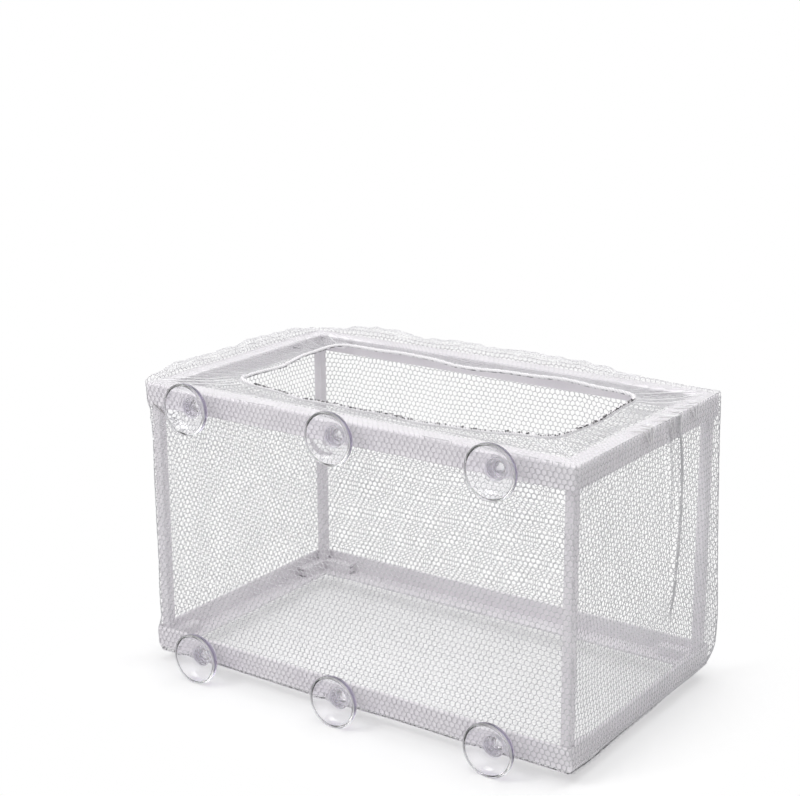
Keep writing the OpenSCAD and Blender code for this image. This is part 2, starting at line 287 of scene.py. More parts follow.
def flapPoint(k, f, v):
    # a place on the flap of side k: f along it, v from the fold in to the hem
    f, v = np.broadcast_arrays(np.asarray(f, float), np.asarray(v, float))
    pull = (0.27, 0.45, 0.27, 0.45)[k]
    outer = wallPoint(k, f, np.ones_like(f))
    gathers = (34, 19, 34, 19)[k]
    gather = 0.75 * np.sin(2 * np.pi * gathers * f + 1.7 * np.sin(9 * f + k)) / (2 * np.pi * gathers)
    even = np.minimum(f, 1 - f)
    gather = gather * smoothStep(even / 0.02) * (0.35 + 0.65 * np.exp(-even / 0.09))
    near = np.clip(f - pull * np.sin(2 * np.pi * f) / (2 * np.pi) + gather, 0, 1)
    inner = hemAt(k, near)
    flat = outer[..., :2] * (1 - v[..., None]) + inner[..., :2] * v[..., None]
    length = np.linalg.norm(outer[..., :2] - inner[..., :2], axis=-1)
    inside = v * length
    rest, rise = frameHeight + 0.55, outer[..., 2] - frameHeight
    z = outer[..., 2] + (rest - outer[..., 2]) * smoothStep(inside / (3.5 + 0.8 * rise))
    z = z + (inner[..., 2] - rest) * smoothStep((inside - 10) / (length - 9))
    sag = smoothStep((inside - 10) / 8) * smoothStep((1 - v) / 0.35)
    corner = np.exp(-np.minimum(f, 1 - f) * sideLengths[k] / 26.0)
    pleats = np.sin(f * sideLengths[k] * 0.62 + 2.1 * k + 1.5 * v)
    z = z - sag * (0.9 + 0.5 * ripple(f * 12, v * 2, 71 + k))
    z = z + corner * pleats * 0.75 * smoothStep((v - 0.1) / 0.25) * smoothStep((1 - v) / 0.15)
    z = np.where(inside < 10.5, np.maximum(z, frameHeight + 0.35), z)
    return np.concatenate([flat, z[..., None]], -1)


def ruffPoint(k, f, v, band, height, lean, seed):
    # a loop of slack net that stands on the fold, over a band of side k
    f0 = band[0] + (band[1] - band[0]) * f
    base = flapPoint(k, f0, np.full_like(f0, 0.035))
    nx, ny = outward[k]
    ends = smoothStep(f / 0.12) * smoothStep((1 - f) / 0.12)
    wave = 0.74 + 0.22 * ripple(f * 15, f * 2.7, seed) + 0.16 * ripple(f * 60, v * 2.2, seed + 1)
    arch = np.sin(np.pi * np.clip(v, 0, 1))
    across = (v - 0.5) * 7.0
    rise = height * ends * wave * arch**0.8
    side = (across * -1.0 - 0.5) + lean * ends * arch * (0.7 + 0.3 * wave)
    side = side + 1.6 * ripple(f * 46, v * 1.9 + 1, seed + 2) * arch * ends
    x = base[..., 0] + nx * side
    y = base[..., 1] + ny * side
    z = np.maximum(base[..., 2], frameHeight + 0.7) + rise
    return np.stack([x, y, z], -1)


def guideSheet(name, shape, across, up):
    u, v = np.meshgrid(np.linspace(0, 1, across + 1), np.linspace(0, 1, up + 1), indexing="ij")
    points = shape(u, v).reshape(-1, 3)
    faces = []
    for i in range(across):
        for j in range(up):
            a = i * (up + 1) + j
            faces.append((a, a + up + 1, a + up + 2, a + 1))
    mesh = meshFrom(name, points, faces)
    layer = mesh.uv_layers.new(name="cut")
    flatUv = np.stack([u.ravel(), v.ravel()], 1)
    corner = np.empty(len(mesh.loops), int)
    mesh.loops.foreach_get("vertex_index", corner)
    layer.data.foreach_set("uv", flatUv[corner].astype(np.float32).ravel())
    return newObject(name, mesh)


# Short cuts for making nodes, in shaders and in Geometry Nodes
def addSocket(tree, way, label, kind, value=None):
    socket = tree.interface.new_socket(name=label, in_out=way, socket_type="NodeSocket" + kind)
    if value is not None:
        socket.default_value = value


def connect(tree, node, wires):
    for key, value in dict(wires).items():
        if isinstance(value, bpy.types.NodeSocket):
            tree.links.new(value, node.inputs[key])
        else:
            node.inputs[key].default_value = value


def wire(tree, kind, wires=(), **settings):
    node = tree.nodes.new(kind)
    for key, value in settings.items():
        setattr(node, key, value)
    connect(tree, node, wires)
    return node.outputs


def maths(tree, operation, *values, clamp=False):
    return wire(tree, "ShaderNodeMath", enumerate(values), operation=operation, use_clamp=clamp)[0]


def vectorMaths(tree, operation, *values, scale=None):
    wires = dict(enumerate(values))
    if scale is not None:
        wires["Scale"] = scale
    return wire(tree, "ShaderNodeVectorMath", wires, operation=operation)[1 if operation == "LENGTH" else 0]


def ramp(tree, value, low, high, toLow=0.0, toHigh=1.0, **settings):
    wires = {0: value, 1: low, 2: high, 3: toLow, 4: toHigh}
    return wire(tree, "ShaderNodeMapRange", wires, **settings)[0]


def newTree(name, sockets):
    tree = bpy.data.node_groups.new(name, "GeometryNodeTree")
    tree.is_modifier = True
    for label, kind, value in [("Geometry", "Geometry", None)] + sockets:
        addSocket(tree, "INPUT", label, kind, value)
    addSocket(tree, "OUTPUT", "Geometry", "Geometry")
    given = tree.nodes.new("NodeGroupInput").outputs
    return tree, given, partial(wire, tree), partial(maths, tree), partial(vectorMaths, tree)


def endTree(tree, add, geometry, material):
    real = add("GeometryNodeRealizeInstances", {"Geometry": geometry})[0]
    painted = add("GeometryNodeSetMaterial", {"Geometry": real, "Material": material})[0]
    connect(tree, tree.nodes.new("NodeGroupOutput"), {0: painted})
    for i, node in enumerate(tree.nodes):
        node.location = (i % 12 * 190, -(i // 12) * 260)


def makeHexNetTree():
    tree, given, add, sums, vectors = newTree("hexNet", [
        ("Width", "Float", 0.26), ("Length", "Float", 0.15), ("Pitch", "Float", 0.003),
        ("Slant", "Float", 0.0), ("Thread Radius", "Float", 0.00017), ("Unevenness", "Float", 0.06),
        ("Seed", "Int", 1), ("Clear Around", "Object", None), ("Clear Radius", "Float", 0.0),
        ("Material", "Material", None),
    ])
    width, length, pitch = given["Width"], given["Length"], given["Pitch"]
    rowStep = sums("MULTIPLY", pitch, math.sqrt(3) / 2)
    reach = sums("MULTIPLY_ADD", length, given["Slant"], width)
    columns = sums("ADD", sums("CEIL", sums("DIVIDE", reach, pitch)), 4.0)
    rows = sums("ADD", sums("CEIL", sums("DIVIDE", length, rowStep)), 4.0)
    sizeX = sums("MULTIPLY", sums("SUBTRACT", columns, 1.0), pitch)
    sizeY = sums("MULTIPLY", sums("SUBTRACT", rows, 1.0), rowStep)
    grid = add("GeometryNodeMeshGrid", {
        "Size X": sizeX, "Size Y": sizeY, "Vertices X": columns, "Vertices Y": rows,
    })[0]
    place = add("GeometryNodeInputPosition")[0]
    y = add("ShaderNodeSeparateXYZ", {0: place})[1]
    row = sums("ROUND", sums("DIVIDE", sums("ADD", y, sums("MULTIPLY", sizeY, 0.5)), rowStep))
    shift = sums("MULTIPLY", sums("SUBTRACT", sums("MODULO", row, 2.0), 0.5), sums("MULTIPLY", pitch, 0.5))
    shift = sums("MULTIPLY_ADD", y, given["Slant"], shift)
    sideways = add("ShaderNodeCombineXYZ", {0: shift})[0]
    shifted = add("GeometryNodeSetPosition", {"Geometry": grid, "Offset": sideways})[0]
    triangles = add("GeometryNodeTriangulate", {"Mesh": shifted}, quad_method="SHORTEST_DIAGONAL")[0]
    hexes = add("GeometryNodeDualMesh", {"Mesh": triangles})[0]
    # every knot a little off its place, and the rows drawn gently out of line
    uneven = sums("MULTIPLY", pitch, given["Unevenness"])
    knot = add("FunctionNodeRandomValue", {
        "Min": (-1.0, -1.0, 0.0), "Max": (1.0, 1.0, 0.0), "Seed": given["Seed"],
    }, data_type="FLOAT_VECTOR")[0]
    drift = add("ShaderNodeTexNoise", {
        "Vector": place, "W": given["Seed"], "Scale": 38.0, "Detail": 1.0,
    }, noise_dimensions="4D")["Color"]
    drift = vectors("MULTIPLY", vectors("SUBTRACT", drift, (0.5, 0.5, 0.5)), (14.0, 14.0, 0.0))
    offset = vectors("SCALE", vectors("ADD", knot, drift), scale=uneven)
    moved = add("GeometryNodeSetPosition", {"Geometry": hexes, "Offset": offset})[0]
    # place on the cut cloth from 0 to 1; threads that leave it end on its edge
    size = add("ShaderNodeCombineXYZ", {0: width, 1: length, 2: 1.0})[0]
    cut = vectors("ADD", vectors("DIVIDE", place, size), (0.5, 0.5, 0.0))
    inner = vectors("MINIMUM", vectors("MAXIMUM", cut, (0.0003, 0.0003, 0.0)), (0.9997, 0.9997, 0.0))
    beyond = sums("GREATER_THAN", vectors("LENGTH", vectors("SUBTRACT", cut, inner)), 0.00001)
    beyond = add("GeometryNodeFieldOnDomain", {0: beyond}, data_type="FLOAT", domain="POINT")[0]
    outside = sums("GREATER_THAN", beyond, 0.9)
    trimmed = add("GeometryNodeDeleteGeometry", {"Geometry": moved, "Selection": outside}, domain="EDGE")[0]
    onSheet = add("GeometryNodeSampleUVSurface", {
        "Mesh": given["Geometry"],
        "Value": add("GeometryNodeInputPosition")[0],
        "UV Map": add("GeometryNodeInputNamedAttribute", {"Name": "cut"}, data_type="FLOAT_VECTOR")[0],
        "Sample UV": inner,
    }, data_type="FLOAT_VECTOR")[0]
    draped = add("GeometryNodeSetPosition", {"Geometry": trimmed, "Position": onSheet})[0]
    # threads pushed aside where something passes through the net
    around = add("GeometryNodeObjectInfo", {"Object": given["Clear Around"]}, transform_space="RELATIVE")
    near = add("GeometryNodeProximity", {0: around["Geometry"]}, target_element="EDGES")
    gap = given["Clear Radius"]
    away = vectors("NORMALIZE", vectors("SUBTRACT", place, near["Position"]))
    aside = vectors("ADD", near["Position"], vectors("SCALE", away, scale=gap))
    cleared = add("GeometryNodeSetPosition", {
        "Geometry": draped, "Selection": sums("LESS_THAN", near["Distance"], gap), "Position": aside,
    })[0]
    thread = add("GeometryNodeCurvePrimitiveCircle", {"Resolution": 4, "Radius": given["Thread Radius"]})[0]
    lines = add("GeometryNodeMeshToCurve", {"Mesh": cleared})[0]
    tubes = add("GeometryNodeCurveToMesh", {"Curve": lines, "Profile Curve": thread, "Fill Caps": True})[0]
    smooth = add("GeometryNodeSetShadeSmooth", {"Geometry": tubes})[0]
    endTree(tree, add, smooth, given["Material"])
    return tree


def makeStitchTree():
    tree, given, add, sums, vectors = newTree("stitches", [
        ("Spacing", "Float", 0.0016), ("Stitch Length", "Float", 0.0006), ("Stitch Radius", "Float", 0.0002),
        ("Unevenness", "Float", 0.4), ("Share", "Float", 1.0), ("Seed", "Int", 1),
        ("Material", "Material", None),
    ])
    path = add("GeometryNodeMeshToCurve", {"Mesh": given["Geometry"]})[0]
    spots = add("GeometryNodeResampleCurve", {"Curve": path, "Length": given["Spacing"]}, mode="LENGTH")[0]
    along = add("GeometryNodeInputTangent")[0]
    turn = add("FunctionNodeAlignRotationToVector", {"Vector": along}, axis="X")[0]
    wild, radius, seed = given["Unevenness"], given["Stitch Radius"], given["Seed"]
    size = add("FunctionNodeRandomValue", {
        2: sums("SUBTRACT", 1.0, wild), 3: sums("ADD", 1.0, wild), "Seed": seed,
    }, data_type="FLOAT")[1]
    shape = add("ShaderNodeCombineXYZ", {0: given["Stitch Length"], 1: radius, 2: radius})[0]
    stitch = add("GeometryNodeMeshUVSphere", {"Segments": 8, "Rings": 5, "Radius": 1.0})[0]
    kept = add("FunctionNodeRandomValue", {
        "Probability": given["Share"], "Seed": sums("ADD", seed, 7.0),
    }, data_type="BOOLEAN")[3]
    shake = add("FunctionNodeRandomValue", {
        "Min": (-1.0, -1.0, -1.0), "Max": (1.0, 1.0, 1.0), "Seed": sums("ADD", seed, 3.0),
    }, data_type="FLOAT_VECTOR")[0]
    offset = vectors("SCALE", shake, scale=sums("MULTIPLY", radius, wild))
    loose = add("GeometryNodeSetPosition", {"Geometry": spots, "Offset": offset})[0]
    placed = add("GeometryNodeInstanceOnPoints", {
        "Points": loose, "Selection": kept, "Instance": stitch, "Rotation": turn,
        "Scale": vectors("SCALE", shape, scale=size),
    })[0]
    real = add("GeometryNodeRealizeInstances", {"Geometry": placed})[0]
    smooth = add("GeometryNodeSetShadeSmooth", {"Geometry": real})[0]
    endTree(tree, add, smooth, given["Material"])
    return tree


def grow(base, tree, name, values):
    modifier = base.modifiers.new(tree.name, "NODES")
    modifier.node_group = tree
    for socket in tree.interface.items_tree:
        if socket.item_type == "SOCKET" and socket.in_out == "INPUT" and values.get(socket.name) is not None:
            modifier[socket.identifier] = values[socket.name]
    bpy.context.view_layer.update()
    ready = base.evaluated_get(bpy.context.evaluated_depsgraph_get())
    mesh = bpy.data.meshes.new_from_object(ready)
    mesh.name = name
    base.modifiers.remove(modifier)
    bpy.data.objects.remove(base)
    return newObject(name, mesh)


def pathObject(name, points, step=1):
    # edges along the points, or with step 2 one between each pair of them
    mesh = bpy.data.meshes.new(name)
    edges = [(i, i + 1) for i in range(0, len(points) - 1, step)]
    mesh.from_pydata([tuple(p) for p in toMetres(points)], edges, [])
    return newObject(name, mesh)


def circle(sides):
    angles = np.linspace(0, 2 * np.pi, sides, endpoint=False)
    return np.stack([np.cos(angles), np.sin(angles)], -1)


def sweep(name, points, profile, closed, up=(0, 0, 1)):
    # a tube along a path: profile is its outline, sideways and up, at each point
    points = np.asarray(points, float)
    if closed:
        ahead = np.roll(points, -1, 0) - np.roll(points, 1, 0)
    else:
        ahead = np.gradient(points, axis=0)
    ahead /= np.linalg.norm(ahead, axis=1)[:, None]
    side = np.cross(np.asarray(up, float)[None], ahead)
    side /= np.linalg.norm(side, axis=1)[:, None]
    top = np.cross(ahead, side)
    rings = points[:, None] + side[:, None] * profile[..., 0:1] + top[:, None] * profile[..., 1:2]
    n, m = rings.shape[:2]
    faces = []
    for i in range(n if closed else n - 1):
        for j in range(m):
            a, b = i * m + j, ((i + 1) % n) * m + j
            c, d = ((i + 1) % n) * m + (j + 1) % m, i * m + (j + 1) % m
            faces.append((d, c, b, a))
    if not closed:
        faces.append(tuple(reversed(range(m))))
        faces.append(tuple((n - 1) * m + j for j in range(m)))
    mesh = meshFrom(name, rings.reshape(-1, 3), faces)
    return newObject(name, mesh)


def newGroup(name, sockets, results):
    tree = bpy.data.node_groups.new(name, "ShaderNodeTree")
    for label, value in sockets:
        addSocket(tree, "INPUT", label, "Float", value)
    for label in results:
        addSocket(tree, "OUTPUT", label, "Float")
    return tree, tree.nodes.new("NodeGroupInput").outputs, tree.nodes.new("NodeGroupOutput")


def makeMottleGroup():
    sockets = [("Scale", 60.0), ("Fine Scale", 900.0), ("Fine Share", 0.4)]
    tree, given, out = newGroup("mottle", sockets, ("Mask", "Height"))
    place = wire(tree, "ShaderNodeTexCoord")["Object"]
    broad, fine = (
        wire(tree, "ShaderNodeTexNoise", {"Vector": place, "Scale": given[label], "Detail": detail})[0]
        for label, detail in (("Scale", 3.0), ("Fine Scale", 2.0))
    )
    mixed = wire(tree, "ShaderNodeMix", {0: given["Fine Share"], 2: broad, 3: fine}, data_type="FLOAT")[0]
    connect(tree, out, {"Mask": mixed, "Height": fine})
    return tree


def makeTwistGroup():
    tree, given, out = newGroup("twistedYarn", [("Scale", 2600.0), ("Slant", 1.0)], ("Mask", "Height"))
    x, y, z = wire(tree, "ShaderNodeSeparateXYZ", {0: wire(tree, "ShaderNodeTexCoord")["Object"]})
    slope = maths(tree, "MULTIPLY_ADD", z, given["Slant"], maths(tree, "ADD", x, y))
    wave = maths(tree, "SINE", maths(tree, "MULTIPLY", slope, given["Scale"]))
    strand = ramp(tree, wave, -1.0, 1.0)
    connect(tree, out, {"Mask": strand, "Height": strand})
    return tree


def makeRestsGroup():
    # where the net lies on the plastic: over the rails' top legs, and over their outer faces
    tree, given, out = newGroup("restsOnRails", [
        ("Leg X", 0.1195), ("Leg Y", 0.0635), ("Middle Y", 0.0062),
        ("Low", 0.0198), ("High", 0.1455), ("Blend", 0.001),
    ], ("Top", "Side"))
    x, y, z = wire(tree, "ShaderNodeSeparateXYZ", {0: wire(tree, "ShaderNodeTexCoord")["Object"]})
    fromMiddle = maths(tree, "ABSOLUTE", maths(tree, "SUBTRACT", y, given["Middle Y"]))
    beyondX = maths(tree, "SUBTRACT", maths(tree, "ABSOLUTE", x), given["Leg X"])
    beyondY = maths(tree, "SUBTRACT", fromMiddle, given["Leg Y"])
    below = maths(tree, "SUBTRACT", given["Low"], z)
    above = maths(tree, "SUBTRACT", z, given["High"])
    blend = given["Blend"]
    for label, pair in {"Top": (beyondX, beyondY), "Side": (below, above)}.items():
        distance = maths(tree, "MAXIMUM", *pair)
        connect(tree, out, {label: ramp(tree, distance, maths(tree, "MULTIPLY", blend, -1.0), blend)})
    return tree


mottle = makeMottleGroup()
twistedYarn = makeTwistGroup()
restsOnRails = makeRestsGroup()


def newMaterial(name):
    material = bpy.data.materials.new(name)
    material.use_nodes = True
    tree = material.node_tree
    return material, tree, tree.nodes["Principled BSDF"]


def useGroup(tree, group, **values):
    wires = {key.replace("_", " "): value for key, value in values.items()}
    return wire(tree, "ShaderNodeGroup", wires, node_tree=group)


def mixColours(tree, factor, first, second):
    return wire(tree, "ShaderNodeMix", {0: factor, 6: (*first, 1), 7: (*second, 1)}, data_type="RGBA")[2]


def bump(tree, height, strength, depth):
    return wire(tree, "ShaderNodeBump", {"Height": height, "Strength": strength, "Distance": depth})[0]


framePlasticLook = {
    "colour": (0.865, 0.84, 0.87), "shade": (0.785, 0.755, 0.795),
    "roughness": (0.38, 0.55), "coat": 0.08, "grain": 0.00004,
}


def makeFramePlastic():
    look = framePlasticLook
    material, tree, shader = newMaterial("whiteFramePlastic")
    cloud = useGroup(tree, mottle, Scale=45.0, Fine_Scale=1400.0, Fine_Share=0.35)
    cloudy = ramp(tree, cloud["Mask"], 0.35, 0.65)
    connect(tree, shader, {
        "Base Color": mixColours(tree, cloudy, look["shade"], look["colour"]),
        "Roughness": ramp(tree, cloud["Mask"], 0.3, 0.7, *look["roughness"]),
        "Normal": bump(tree, cloud["Height"], 0.25, look["grain"]), "Coat Weight": look["coat"],
        "Subsurface Weight": 0.08, "Subsurface Radius": (0.003, 0.003, 0.003), "Subsurface Scale": 0.6,
    })
    return material


# Thread colours: core and edge where the net hangs free, then where it lies on the plastic. The edge colours
# are painted shade on the threads' sides, the colours on the plastic are paler painted light, and the one
# white net is painted darker on the walls and paler on the tops, floor and ruffles, as painted light and
# shade.
threadLooks = {
    "wallNetThread": {
        "core": (0.74, 0.735, 0.755), "edge": (0.21, 0.21, 0.23), "laid": "Side",
        "laidCore": (0.76, 0.74, 0.77), "laidEdge": (0.36, 0.35, 0.375), "roughness": 0.33, "coat": 0.35,
    },
    "topNetThread": {
        "core": (0.82, 0.815, 0.83), "edge": (0.38, 0.375, 0.395), "laid": "Top",
        "laidCore": (0.95, 0.945, 0.955), "laidEdge": (0.62, 0.615, 0.63), "roughness": 0.5, "coat": 0.1,
    },
    "floorNetThread": dict(core=(0.90, 0.895, 0.91), edge=(0.62, 0.615, 0.64), roughness=0.5, coat=0.1),
    "ruffleThread": dict(core=(0.95, 0.945, 0.955), edge=(0.70, 0.695, 0.715), roughness=0.5, coat=0.1),
    "foldedNet": dict(core=(0.97, 0.965, 0.975), edge=(0.78, 0.775, 0.79), roughness=0.55, coat=0.05),
    "creasedNet": dict(core=(0.80, 0.795, 0.81), edge=(0.59, 0.585, 0.60), roughness=0.5, coat=0.1),
    "shadedGatherNet": dict(core=(0.72, 0.70, 0.715), edge=(0.48, 0.47, 0.48), roughness=0.55, coat=0.05),
    "tuckShadowNet": dict(core=(0.40, 0.38, 0.39), edge=(0.26, 0.25, 0.26), roughness=0.6, coat=0.05),
}


def makeNetThread(name, look):
    material, tree, shader = newMaterial(name)
    cloud = useGroup(tree, mottle, Scale=90.0, Fine_Scale=2500.0, Fine_Share=0.5)
    # painted shade: the threads' sides, seen side-on, take the dark edge colour
    rim = wire(tree, "ShaderNodeLayerWeight", {"Blend": 0.5})["Facing"]
    cloudy = maths(tree, "MULTIPLY_ADD", cloud["Mask"], 0.5, -0.25)
    shade = maths(tree, "ADD", rim, cloudy, clamp=True)
    colour = mixColours(tree, shade, look["core"], look["edge"])
    # painted light: where the net lies on the rails, its threads take paler colours
    if "laid" in look:
        laid = useGroup(tree, restsOnRails)[look["laid"]]
        if look["laid"] == "Side":      # the painted light fades out round the front right corner, where the threads keep their darker colours
            x = wire(tree, "ShaderNodeSeparateXYZ", {0: wire(tree, "ShaderNodeTexCoord")["Object"]})[0]
            laid = maths(tree, "MULTIPLY", laid, ramp(tree, x, 0.085, 0.12, 1.0, 0.0))
        pale = mixColours(tree, shade, look["laidCore"], look["laidEdge"])
        colour = wire(tree, "ShaderNodeMix", {0: laid, 6: colour, 7: pale}, data_type="RGBA")[2]
    connect(tree, shader, {
        "Base Color": colour, "Normal": bump(tree, cloud["Height"], 0.4, 0.00003),
        "Roughness": look["roughness"], "Coat Weight": look["coat"], "Coat Roughness": 0.2,
    })
    return material


yarnLooks = {   # colour, shade between the strands, roughness, twist, depth of the strands, sheen
    "hemYarn": ((0.94, 0.925, 0.94), (0.73, 0.715, 0.74), 0.6, 3600.0, 0.00012, 0.3),
    "darkStitch": ((0.035, 0.030, 0.034), (0.012, 0.010, 0.012), 0.7, 5000.0, 0.00003, 0.1),
    "hemShadowStitch": ((0.17, 0.165, 0.18), (0.10, 0.095, 0.11), 0.6, 5000.0, 0.00003, 0.3),
    "seamStitch": ((0.36, 0.34, 0.38), (0.2, 0.19, 0.22), 0.6, 5000.0, 0.00003, 0.3),
}


def makeYarn(name, colour, shade, roughness, scale, depth, sheen):
    material, tree, shader = newMaterial(name)
    twist = useGroup(tree, twistedYarn, Scale=scale)
    cloud = useGroup(tree, mottle, Scale=120.0, Fine_Scale=2500.0, Fine_Share=0.5)
    both = maths(tree, "MULTIPLY", twist["Mask"], cloud["Mask"])
    connect(tree, shader, {
        "Base Color": mixColours(tree, ramp(tree, both, 0.0, 0.55), shade, colour),
        "Normal": bump(tree, twist["Height"], 0.5, depth),
        "Roughness": roughness, "Sheen Weight": sheen, "Sheen Roughness": 0.4,
    })
    return material


# the dark violet colour serves both the thick plastic and the painted shade on the cup
cupLook = {
    "clear": (0.985, 0.98, 0.995), "thickAndShaded": (0.26, 0.21, 0.38), "steep": 0.05,
    "roughness": 0.02, "ior": 1.36,
}


def makeCupClear():
    look = cupLook
    material, tree, shader = newMaterial("clearCup")
    cloud = useGroup(tree, mottle, Scale=70.0, Fine_Scale=600.0, Fine_Share=0.3)
    thickAndShaded, side, frost = (
        wire(tree, "ShaderNodeAttribute", attribute_name=label)["Fac"] for label in ("thickAndShaded", "side", "frost")
    )
    rim = wire(tree, "ShaderNodeLayerWeight", {"Blend": 0.5})["Facing"]
    steep = ramp(tree, rim, 0.45, 0.95)
    both = maths(tree, "MULTIPLY_ADD", steep, look["steep"], thickAndShaded, clamp=True)
    # painted shade: the shoulder darkens to the dark violet colour on its outer face only
    outside = maths(tree, "SUBTRACT", 1.0, wire(tree, "ShaderNodeNewGeometry")["Backfacing"])
    both = maths(tree, "MAXIMUM", both, maths(tree, "MULTIPLY", side, outside))
    connect(tree, shader, {
        "Base Color": mixColours(tree, both, look["clear"], look["thickAndShaded"]),
        "Normal": bump(tree, cloud["Height"], 0.06, 0.0001),
        "Roughness": maths(tree, "ADD", frost, look["roughness"]), "IOR": look["ior"],
        "Transmission Weight": 1.0, "Coat Weight": 0.12, "Coat Roughness": 0.05,
    })
    return material


framePlastic = makeFramePlastic()
wallThread, topThread, floorThread, ruffleThread, foldThread, creaseThread, shadedGatherThread, tuckShadowThread = (
    makeNetThread(name, look) for name, look in threadLooks.items()
)
hemYarn, darkStitch, hemShadowStitch, seamStitch = (makeYarn(name, *look) for name, look in yarnLooks.items())
cupClear = makeCupClear()
print("materials ready")

# The frame stays as it comes from model.glb: rails, posts and corner pieces, in their moulded plastic
for name, node in nodes.items():
    if name.startswith(("rail_", "post_", "corner_")):
        node.data.materials.clear()
        node.data.materials.append(framePlastic)

hexNet = makeHexNetTree()
stitches = makeStitchTree()
net = {
    "pitch": 3.0, "uneven": 0.055, "wallRadius": 0.20, "topRadius": 0.155, "floorRadius": 0.145,
    "neckRoom": 2.75,        # how far the threads are pushed aside round a cup's neck
    "floorCut": (260, 148),
}


def hexSheet(name, shape, cut, steps, seed, thread, radius, slant=0.0, uneven=1.0,
             clearAround=None, clearRadius=0.0):
    width, length = cut
    guide = guideSheet(name + "Guide", shape, *steps)
    return grow(guide, hexNet, name, {
        "Width": width / 1000, "Length": length / 1000, "Pitch": net["pitch"] / 1000, "Slant": slant,
        "Thread Radius": radius / 1000, "Unevenness": net["uneven"] * uneven, "Seed": seed,
        "Clear Around": clearAround, "Clear Radius": clearRadius / 1000, "Material": thread,
    })


# A line along each cup's neck, which the front net's threads keep clear of
neckLines = []
for x, z in cupSpots.values():
    neckLines += [(x, -90.0, z), (x, -60.0, z)]
necks = pathObject("neckLines", neckLines, 2)

sheets = {}
for k, side in enumerate(sideNames):
    cut = bag["wallCut"][k]
    hole = dict(clearAround=necks, clearRadius=net["neckRoom"]) if k == 0 else {}
    piece = hexSheet(f"netWall_{side}", partial(wallPoint, k), cut, (2 * cut[0], 150), 20 + k,
                     wallThread, net["wallRadius"], bag["wallSlant"][k], **hole)
    sheets[f"net_{side}"] = (piece, cut)
    cut = bag["flapCut"][k]
    piece = hexSheet(f"netFlap_{side}", partial(flapPoint, k), cut, (2 * cut[0], 48), 40 + k,
                     topThread, net["topRadius"])
    sheets[f"flap_{side}"] = (piece, cut)


def floorPoint(f, w):
    front, back = wallPoint(0, f, np.zeros_like(f)), wallPoint(2, 1 - f, np.zeros_like(f))
    left, right = wallPoint(3, 1 - w, np.zeros_like(w)), wallPoint(1, w, np.zeros_like(w))
    corners = [wallPoint(k, np.array(0.0), np.array(0.0)) for k in range(4)]
    f, w = f[..., None], w[..., None]
    shares = ((1 - f) * (1 - w), f * (1 - w), f * w, (1 - f) * w)
    edges = front * (1 - w) + back * w + left * (1 - f) + right * f
    return edges - sum(corner * share for corner, share in zip(corners, shares))


piece = hexSheet("netFloor", floorPoint, net["floorCut"], (130, 74), 60, floorThread, net["floorRadius"])
sheets["net_bottom"] = (piece, net["floorCut"])
bpy.data.objects.remove(necks)
print("net woven")

# Ruffles of slack net that stand on the left and back rails
ruffles = {
    "netRuffle_left": dict(k=3, band=(0.03, 0.95), height=3.6, lean=2.0, seed=5, cut=(168, 18)),
    "netRuffle_back": dict(k=2, band=(0.18, 0.97), height=3.9, lean=1.6, seed=9, cut=(246, 18)),
}
for name, r in ruffles.items():
    shape = lambda f, v, r=r: ruffPoint(r["k"], f, v, r["band"], r["height"], r["lean"], r["seed"])
    r["piece"] = hexSheet(name, shape, r["cut"], (320, 20), r["seed"], ruffleThread, net["topRadius"],
                          uneven=2.2)

# Gathered lines of net by the pleat and at the corners of the flaps
folds = {
    "radius": 0.24, "edge": 0.17, "sides": 6, "tuck": 0.30,
    "tucks": ((-124.4, -118.0, 140.2, 136.8), (-121.8, -117.2, 138.4, 134.8)),
    "fansAt": (-25.0, -1.0, 19.0), "fanLow": (0.945, 0.91, 0.95),
    "fanRays": (-7.5, -4.6, -2.2, 0.0, 2.4, 5.0),
}


def foldTube(path, radius, thread, up=(0, 0, 1)):
    path = np.asarray(path, float)
    taper = smoothStep(np.linspace(0, 6, len(path))) * smoothStep(np.linspace(6, 0, len(path)))
    size = radius * (0.25 + 0.75 * taper)
    tube = sweep("foldTube", path, circle(folds["sides"]) * size[:, None, None], False, up)
    tube.data.materials.append(thread)
    return tube


def joined(name, pieces):
    first = pieces[0]
    with bpy.context.temp_override(active_object=first, selected_editable_objects=pieces):
        bpy.ops.object.join()
    first.name = first.data.name = name
    return first


def pleatEdge(side, z, beside=0.0):
    # place along the cloth of the pleat's near edge (-1) or far edge (1)
    beyond = bag["pleatSpare"] if side > 0 else 0.0
    return (pleatPlace(z) + side * pleatWide(z) / 2 + beyond + beside) / (frameDepth + bag["pleatSpare"])


def pleatFolds():
    tubes = []
    level = np.linspace(0.935, 0.36, 60)
    for side in (-1, 1):
        path = wallPoint(1, pleatEdge(side, level * frameHeight), level)
        path[:, 0] += 0.4
        tubes.append(foldTube(path, folds["edge"], creaseThread, (0, 1, 0)))
    # three fans of gathers where the side is drawn up over the rail
    rng = np.random.default_rng(4)
    for place, low in zip(folds["fansAt"], folds["fanLow"]):
        for turn, ray in enumerate(folds["fanRays"]):
            lean = ray + rng.uniform(-0.8, 0.8)
            up = np.linspace(0, 1, 16)
            level = low + (0.9999 - low) * up
            start = lean * 0.25
            beside = place + start + (lean - start) * up**1.2
            f = pleatEdge(1 if place + ray > 0 else -1, level * frameHeight, beside)
            climb = wallPoint(1, f, level)
            climb[:, 0] += 0.4
            climb[:, 2] += 0.3 * up
            across = np.linspace(0, 0.20 + 0.10 * rng.uniform(-1, 1), 14)[1:]
            over = flapPoint(1, f[-1] + lean * across * 1.6 / frameDepth, across)
            over[:, 2] += 0.3
            # every other ray is grey, painted shade on the white gathers
            thread = (shadedGatherThread, foldThread)[turn % 2]
            radius = folds["radius"] * rng.uniform(0.6, 1.0)
            tubes.append(foldTube(np.vstack([climb, over]), radius, thread, (0, 1, 0)))
    return joined("netFolds_pleat", tubes)


